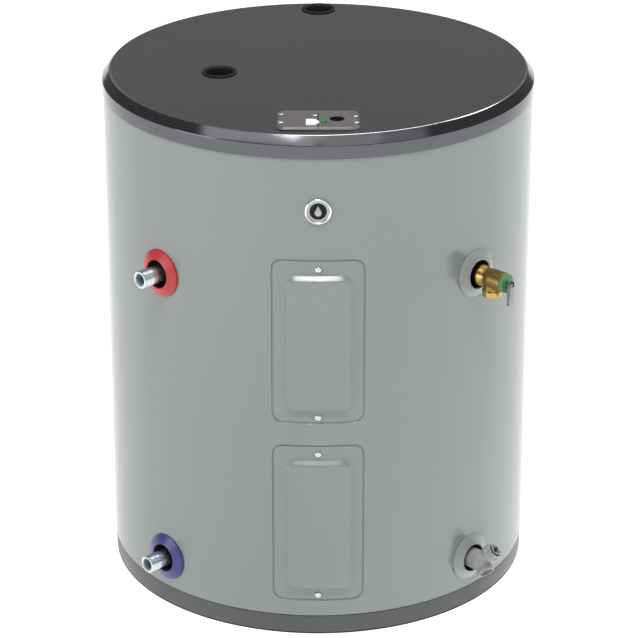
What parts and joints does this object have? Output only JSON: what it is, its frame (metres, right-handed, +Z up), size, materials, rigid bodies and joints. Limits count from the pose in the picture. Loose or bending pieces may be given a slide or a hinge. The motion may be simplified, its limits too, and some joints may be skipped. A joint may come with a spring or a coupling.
{
  "type": "tank water heater",
  "caption": "Short upright electric tank water heater with side water connections, relief and drain valves, front access covers and a wiring box on its lid.",
  "frame": {"origin": "centre of the round base pan, at floor level, on the tank's axis", "axes": "+Z up along the tank's axis, -Y out of the front with the access covers, +X towards the side with the relief and drain valves"},
  "size_m": [0.6697, 0.6747, 0.8275],
  "materials": {
    "jacket_paint": "satin",
    "lid_paint": "satin",
    "base_paint": "satin",
    "foam": "matte",
    "dark_foam": "matte",
    "tank_steel": "satin",
    "bare_steel": "satin",
    "zinc_steel": "gloss",
    "liner_plastic": "satin",
    "inner_plastic": "satin",
    "red_plastic": "satin",
    "blue_plastic": "satin",
    "grey_plastic": "satin",
    "drain_plastic": "satin",
    "brass": "satin",
    "green_plastic": "satin",
    "valve_steel": "satin",
    "black_rubber": "matte",
    "pad_fibre": "matte",
    "copper_sheath": "satin",
    "magnesium": "matte",
    "black_phenolic": "satin",
    "dial_plastic": "satin",
    "red_button": "gloss",
    "terminal_brass": "satin",
    "black_insulation": "satin",
    "red_insulation": "satin",
    "box_steel": "satin",
    "cover_steel": "satin",
    "screw_zinc": "gloss",
    "green_screw": "gloss",
    "white_tag": "matte",
    "badge_chrome": "polished",
    "badge_black": "gloss"
  },
  "bodies": {
    "heater": {"jacket": "jacket_paint", "top_lid": "lid_paint", "base_pan": "base_paint", "foam_insulation": "foam", "inner_tank": "tank_steel", "tank_spuds": "bare_steel", "hot_nipple": "zinc_steel", "cold_nipple": "zinc_steel", "nipple_liners": "liner_plastic", "hot_outlet_tube": "inner_plastic", "cold_inlet_diffuser": "inner_plastic", "hot_escutcheon": "red_plastic", "cold_escutcheon": "blue_plastic", "relief_escutcheon": "grey_plastic", "drain_escutcheon": "grey_plastic", "port_foam_dams": "dark_foam", "relief_valve_body": "brass", "relief_valve_cap": "green_plastic", "relief_probe": "copper_sheath", "drain_valve_body": "drain_plastic", "upper_element_head": "bare_steel", "lower_element_head": "bare_steel", "upper_element_sheath": "copper_sheath", "lower_element_sheath": "copper_sheath", "element_gaskets": "black_rubber", "upper_thermostat": "black_phenolic", "lower_thermostat": "black_phenolic", "thermostat_brackets": "bare_steel", "terminal_screws": "terminal_brass", "black_wires": "black_insulation", "red_wires": "red_insulation", "anode_rod": "magnesium", "lid_port_grommets": "black_rubber", "foam_port_plug": "black_phenolic", "junction_box": "box_steel", "conduit_plate": "cover_steel", "conduit_plate_screws": "screw_zinc", "ground_screw": "green_screw", "badge_ring": "badge_chrome", "badge_face": "badge_black"},
    "relief_stem": {"relief_stem": "valve_steel", "relief_disc": "black_rubber", "relief_spring": "valve_steel", "relief_lever_pin": "valve_steel"},
    "relief_lever": {"relief_lever": "valve_steel"},
    "drain_washer": {"drain_washer": "black_rubber"},
    "drain_knob": {"drain_knob": "drain_plastic", "drain_stem": "drain_plastic"},
    "upper_dial": {"upper_thermostat_dial": "dial_plastic"},
    "lower_dial": {"lower_thermostat_dial": "dial_plastic"},
    "reset_button": {"reset_button": "red_button"},
    "upper_cover": {"upper_access_cover": "jacket_paint", "upper_cover_screws": "screw_zinc", "upper_insulation_pad": "pad_fibre"},
    "lower_cover": {"lower_access_cover": "jacket_paint", "lower_cover_screws": "screw_zinc", "lower_insulation_pad": "pad_fibre"},
    "junction_cover": {"junction_cover": "cover_steel", "junction_cover_screws": "screw_zinc", "label_tag": "white_tag"}
  },
  "joints": [
    {"name": "relief_stem_lift", "type": "slide", "parent": "heater", "child": "relief_stem", "axis": [0.7145, -0.6997, 0], "range_m": [0, 0.00301]},
    {"name": "relief_lever_lift", "type": "hinge", "parent": "relief_stem", "child": "relief_lever", "pos_m": [0.2875, -0.28154, 0.566], "axis": [-0.6997, -0.7145, 0], "range_deg": [0, 85]},
    {"name": "drain_stem_travel", "type": "slide", "parent": "heater", "child": "drain_washer", "axis": [0.6426, -0.2625, 0.7198], "range_m": [0, 0.00551]},
    {"name": "drain_knob_turn", "type": "hinge", "parent": "drain_washer", "child": "drain_knob", "pos_m": [0.25535, -0.25006, 0.084], "axis": [0.6426, -0.2625, 0.7198], "range_deg": [0, 540]},
    {"name": "upper_dial_turn", "type": "hinge", "parent": "heater", "child": "upper_dial", "pos_m": [0, -0.309, 0.504], "axis": [0, -1, 0], "range_deg": [-135, 135]},
    {"name": "lower_dial_turn", "type": "hinge", "parent": "heater", "child": "lower_dial", "pos_m": [0, -0.309, 0.202], "axis": [0, -1, 0], "range_deg": [-135, 135]},
    {"name": "reset_button_press", "type": "slide", "parent": "heater", "child": "reset_button", "axis": [0, 1, 0], "range_m": [0, 0.0025], "stiffness_N_per_m": 400, "springref_m": -0.001},
    {"name": "upper_cover_off", "type": "slide", "parent": "heater", "child": "upper_cover", "axis": [0, -1, 0], "range_m": [0, 0.2]},
    {"name": "lower_cover_off", "type": "slide", "parent": "heater", "child": "lower_cover", "axis": [0, -1, 0], "range_m": [0, 0.2]},
    {"name": "junction_cover_off", "type": "slide", "parent": "heater", "child": "junction_cover", "axis": [0, 0, 1], "range_m": [0, 0.12]}
  ],
  "couplings": [
    {"joint": "relief_stem_lift", "follows": "relief_lever_lift", "m_per_rad": 0.0020222},
    {"joint": "drain_stem_travel", "follows": "drain_knob_turn", "m_per_rad": 0.00058357}
  ]
}
